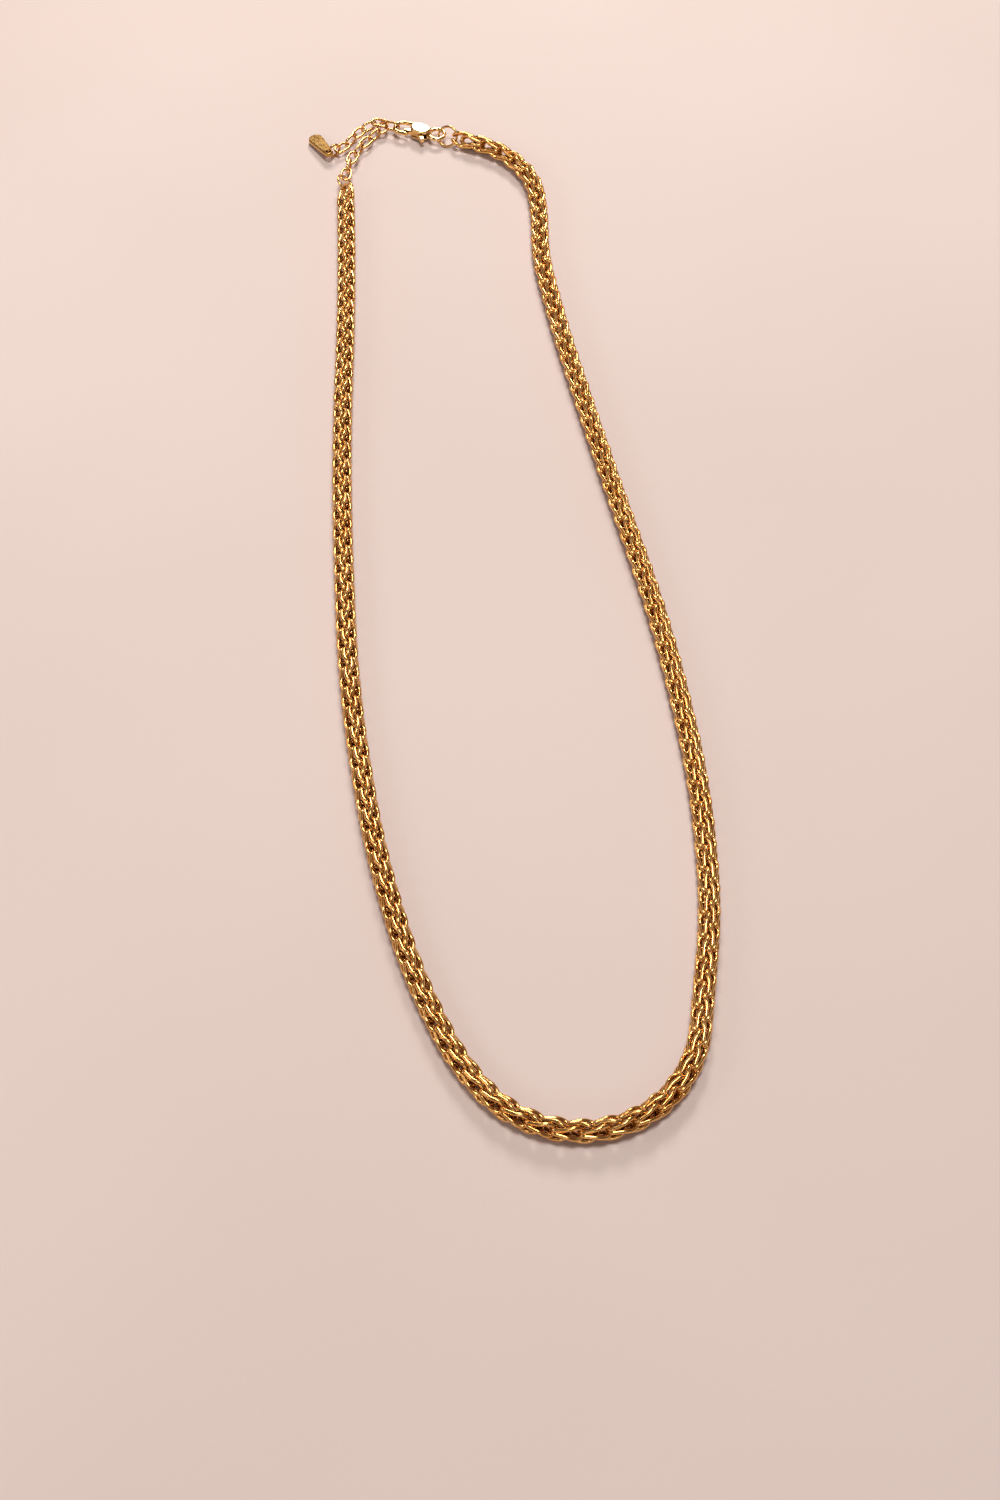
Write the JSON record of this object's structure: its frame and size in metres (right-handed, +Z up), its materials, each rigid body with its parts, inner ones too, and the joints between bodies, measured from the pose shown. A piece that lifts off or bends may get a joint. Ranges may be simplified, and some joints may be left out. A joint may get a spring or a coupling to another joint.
{
  "type": "chain necklace",
  "caption": "Gold-coloured wheat-chain necklace laid in a long loop, with end rings, cable extender, lobster clasp and a small drop-shaped end tag.",
  "frame": {"origin": "centre of the bounding box's base, on the surface that the necklace lies on", "axes": "+Y from the front of the loop to the clasp, +X to the wearer's side where the clasp is, +Z up off the surface"},
  "size_m": [0.0733, 0.2223, 0.0035],
  "materials": {
    "chain_gold": "polished",
    "link_gold": "polished",
    "clasp_gold": "polished",
    "spring_steel": "brushed",
    "lever_gold": "polished",
    "tag_gold": "polished"
  },
  "bodies": {
    "chain_front": {"chain_front": "chain_gold"},
    "chain_left_arm_1": {"chain_left_arm_1": "chain_gold"},
    "chain_right_arm_1": {"chain_right_arm_1": "chain_gold"},
    "chain_left_arm_2": {"chain_left_arm_2": "chain_gold"},
    "chain_right_arm_2": {"chain_right_arm_2": "chain_gold"},
    "chain_left_fold_1a": {"chain_left_fold_1a": "chain_gold"},
    "chain_right_fold_1a": {"chain_right_fold_1a": "chain_gold"},
    "chain_left_fold_1b": {"chain_left_fold_1b": "chain_gold"},
    "chain_right_fold_1b": {"chain_right_fold_1b": "chain_gold"},
    "chain_left_arm_3": {"chain_left_arm_3": "chain_gold"},
    "chain_right_arm_3": {"chain_right_arm_3": "chain_gold"},
    "chain_left_fold_2a": {"chain_left_fold_2a": "chain_gold"},
    "chain_right_fold_2a": {"chain_right_fold_2a": "chain_gold"},
    "chain_left_fold_2b": {"chain_left_fold_2b": "chain_gold"},
    "chain_right_fold_2b": {"chain_right_fold_2b": "chain_gold"},
    "chain_left_arm_4": {"chain_left_arm_4": "chain_gold"},
    "chain_right_arm_4": {"chain_right_arm_4": "chain_gold"},
    "chain_left_fold_3a": {"chain_left_fold_3a": "chain_gold"},
    "chain_right_fold_3a": {"chain_right_fold_3a": "chain_gold"},
    "chain_left_fold_3b": {"chain_left_fold_3b": "chain_gold"},
    "chain_right_fold_3b": {"chain_right_fold_3b": "chain_gold"},
    "chain_left_arm_5": {"chain_left_arm_5": "chain_gold", "left_end_ring": "link_gold"},
    "chain_right_arm_5": {"chain_right_arm_5": "chain_gold", "right_end_ring": "link_gold"},
    "extender_used": {"extender_link_01": "link_gold", "extender_link_02": "link_gold", "extender_link_03": "link_gold", "extender_link_04": "link_gold", "extender_link_05": "link_gold", "extender_link_06": "link_gold", "extender_link_07": "link_gold", "extender_link_08": "link_gold"},
    "clasp": {"clasp_body": "clasp_gold", "clasp_pivot_pin": "clasp_gold", "clasp_spring": "spring_steel"},
    "clasp_trigger": {"clasp_trigger": "lever_gold"},
    "tail_near": {"extender_link_09": "link_gold", "extender_link_10": "link_gold", "extender_link_11": "link_gold"},
    "tail_far": {"extender_link_12": "link_gold", "extender_link_13": "link_gold", "tag_ring": "link_gold"},
    "end_tag": {"end_tag": "tag_gold"}
  },
  "joints": [
    {"name": "sway", "type": "hinge", "parent": "chain_front", "child": "chain_left_arm_1", "pos_m": [-0.01716, -0.06209, 0.00175], "axis": [0, 0, 1], "range_deg": [-5, 5]},
    {"name": "sway_right_front", "type": "hinge", "parent": "chain_front", "child": "chain_right_arm_1", "pos_m": [0.03383, -0.04484, 0.00175], "axis": [0, 0, 1], "range_deg": [-5, 5]},
    {"name": "sway_left_rear", "type": "hinge", "parent": "chain_left_arm_1", "child": "chain_left_arm_2", "pos_m": [-0.02258, -0.03056, 0.00175], "axis": [0, 0, 1], "range_deg": [-5, 5]},
    {"name": "sway_right_rear", "type": "hinge", "parent": "chain_right_arm_1", "child": "chain_right_arm_2", "pos_m": [0.02842, -0.01331, 0.00175], "axis": [0, 0, 1], "range_deg": [-5, 5]},
    {"name": "fold_1", "type": "hinge", "parent": "chain_left_arm_2", "child": "chain_left_fold_1a", "pos_m": [-0.0249, -0.00266, 0.00175], "axis": [0.9998, 0.0214, 0], "range_deg": [0, 6]},
    {"name": "fold_1_right_fold_1a", "type": "hinge", "parent": "chain_right_arm_2", "child": "chain_right_fold_1a", "pos_m": [0.02598, -0.00157, 0.00175], "axis": [0.9998, 0.0214, 0], "range_deg": [0, 6]},
    {"name": "fold_1_left_fold_1b", "type": "hinge", "parent": "chain_left_fold_1a", "child": "chain_left_fold_1b", "pos_m": [-0.0254, 0.00532, 0.00175], "axis": [0.9998, 0.0179, 0], "range_deg": [0, 6]},
    {"name": "fold_1_right_fold_1b", "type": "hinge", "parent": "chain_right_fold_1a", "child": "chain_right_fold_1b", "pos_m": [0.02411, 0.0062, 0.00175], "axis": [0.9998, 0.0179, 0], "range_deg": [0, 6]},
    {"name": "fold_1_left_arm_3", "type": "hinge", "parent": "chain_left_fold_1b", "child": "chain_left_arm_3", "pos_m": [-0.02582, 0.01331, 0.00175], "axis": [0.9999, 0.0141, 0], "range_deg": [0, 6]},
    {"name": "fold_1_right_arm_3", "type": "hinge", "parent": "chain_right_fold_1b", "child": "chain_right_arm_3", "pos_m": [0.02226, 0.01399, 0.00175], "axis": [0.9999, 0.0141, 0], "range_deg": [0, 6]},
    {"name": "fold_2", "type": "hinge", "parent": "chain_left_arm_3", "child": "chain_left_fold_2a", "pos_m": [-0.02649, 0.0333, 0.00175], "axis": [1, 0.0041, 0], "range_deg": [0, 6]},
    {"name": "fold_2_right_fold_2a", "type": "hinge", "parent": "chain_right_arm_3", "child": "chain_right_fold_2a", "pos_m": [0.01777, 0.03348, 0.00175], "axis": [1, 0.0041, 0], "range_deg": [0, 6]},
    {"name": "fold_2_left_fold_2b", "type": "hinge", "parent": "chain_left_fold_2a", "child": "chain_left_fold_2b", "pos_m": [-0.02661, 0.0413, 0.00175], "axis": [1, -0.0003, 0], "range_deg": [0, 6]},
    {"name": "fold_2_right_fold_2b", "type": "hinge", "parent": "chain_right_fold_2a", "child": "chain_right_fold_2b", "pos_m": [0.01601, 0.04128, 0.00175], "axis": [1, -0.0003, 0], "range_deg": [0, 6]},
    {"name": "fold_2_left_arm_4", "type": "hinge", "parent": "chain_left_fold_2b", "child": "chain_left_arm_4", "pos_m": [-0.02674, 0.04929, 0.00175], "axis": [1, -0.0048, 0], "range_deg": [0, 6]},
    {"name": "fold_2_right_arm_4", "type": "hinge", "parent": "chain_right_fold_2b", "child": "chain_right_arm_4", "pos_m": [0.01431, 0.0491, 0.00175], "axis": [1, -0.0048, 0], "range_deg": [0, 6]},
    {"name": "fold_3", "type": "hinge", "parent": "chain_left_arm_4", "child": "chain_left_fold_3a", "pos_m": [-0.02719, 0.06529, 0.00175], "axis": [0.9999, -0.0123, 0], "range_deg": [0, 6]},
    {"name": "fold_3_right_fold_3a", "type": "hinge", "parent": "chain_right_arm_4", "child": "chain_right_fold_3a", "pos_m": [0.01131, 0.06481, 0.00175], "axis": [0.9999, -0.0123, 0], "range_deg": [0, 6]},
    {"name": "fold_3_left_fold_3b", "type": "hinge", "parent": "chain_left_fold_3a", "child": "chain_left_fold_3b", "pos_m": [-0.02752, 0.07328, 0.00175], "axis": [0.9999, -0.0142, 0], "range_deg": [0, 6]},
    {"name": "fold_3_right_fold_3b", "type": "hinge", "parent": "chain_right_fold_3a", "child": "chain_right_fold_3b", "pos_m": [0.0103, 0.07275, 0.00175], "axis": [0.9999, -0.0142, 0], "range_deg": [0, 6]},
    {"name": "fold_3_left_arm_5", "type": "hinge", "parent": "chain_left_fold_3b", "child": "chain_left_arm_5", "pos_m": [-0.02791, 0.08127, 0.00175], "axis": [0.9999, -0.0139, 0], "range_deg": [0, 6]},
    {"name": "fold_3_right_arm_5", "type": "hinge", "parent": "chain_right_fold_3b", "child": "chain_right_arm_5", "pos_m": [0.01012, 0.08074, 0.00175], "axis": [0.9999, -0.0139, 0], "range_deg": [0, 6]},
    {"name": "bridge_lift", "type": "hinge", "parent": "chain_left_arm_5", "child": "extender_used", "pos_m": [-0.0286, 0.0936, 0.0017], "axis": [0.8202, 0.5721, 0], "range_deg": [0, 6]},
    {"name": "clasp_lift", "type": "hinge", "parent": "chain_right_arm_5", "child": "clasp", "pos_m": [-0.01014, 0.10647, 0.0017], "axis": [0.8202, 0.5721, 0], "range_deg": [0, 6]},
    {"name": "trigger_press", "type": "hinge", "parent": "clasp", "child": "clasp_trigger", "pos_m": [-0.01437, 0.10692, 0.0016], "axis": [0, 0, -1], "range_deg": [0, 18], "stiffness_Nm_per_rad": 0.00002},
    {"name": "tail_swing", "type": "hinge", "parent": "extender_used", "child": "tail_near", "pos_m": [-0.02163, 0.10959, 0.0016], "axis": [0, 0, -1], "range_deg": [0, 45]},
    {"name": "tail_bend", "type": "hinge", "parent": "tail_near", "child": "tail_far", "pos_m": [-0.02679, 0.10675, 0.0014], "axis": [0, 0, -1], "range_deg": [0, 35]},
    {"name": "tag_swing", "type": "hinge", "parent": "tail_far", "child": "end_tag", "pos_m": [-0.03231, 0.10099, 0.00155], "axis": [0, 0, 1], "range_deg": [-20, 20]}
  ],
  "couplings": [
    {"joint": "sway_right_front", "follows": "sway", "ratio": 1},
    {"joint": "sway_left_rear", "follows": "sway", "ratio": -1},
    {"joint": "sway_right_rear", "follows": "sway", "ratio": -1},
    {"joint": "fold_1_right_fold_1a", "follows": "fold_1", "ratio": 1},
    {"joint": "fold_1_left_fold_1b", "follows": "fold_1", "ratio": 1},
    {"joint": "fold_1_right_fold_1b", "follows": "fold_1", "ratio": 1},
    {"joint": "fold_1_left_arm_3", "follows": "fold_1", "ratio": 1},
    {"joint": "fold_1_right_arm_3", "follows": "fold_1", "ratio": 1},
    {"joint": "fold_2_right_fold_2a", "follows": "fold_2", "ratio": 1},
    {"joint": "fold_2_left_fold_2b", "follows": "fold_2", "ratio": 1},
    {"joint": "fold_2_right_fold_2b", "follows": "fold_2", "ratio": 1},
    {"joint": "fold_2_left_arm_4", "follows": "fold_2", "ratio": 1},
    {"joint": "fold_2_right_arm_4", "follows": "fold_2", "ratio": 1},
    {"joint": "fold_3_right_fold_3a", "follows": "fold_3", "ratio": 1},
    {"joint": "fold_3_left_fold_3b", "follows": "fold_3", "ratio": 1},
    {"joint": "fold_3_right_fold_3b", "follows": "fold_3", "ratio": 1},
    {"joint": "fold_3_left_arm_5", "follows": "fold_3", "ratio": 1},
    {"joint": "fold_3_right_arm_5", "follows": "fold_3", "ratio": 1},
    {"joint": "clasp_lift", "follows": "bridge_lift", "ratio": 1}
  ]
}
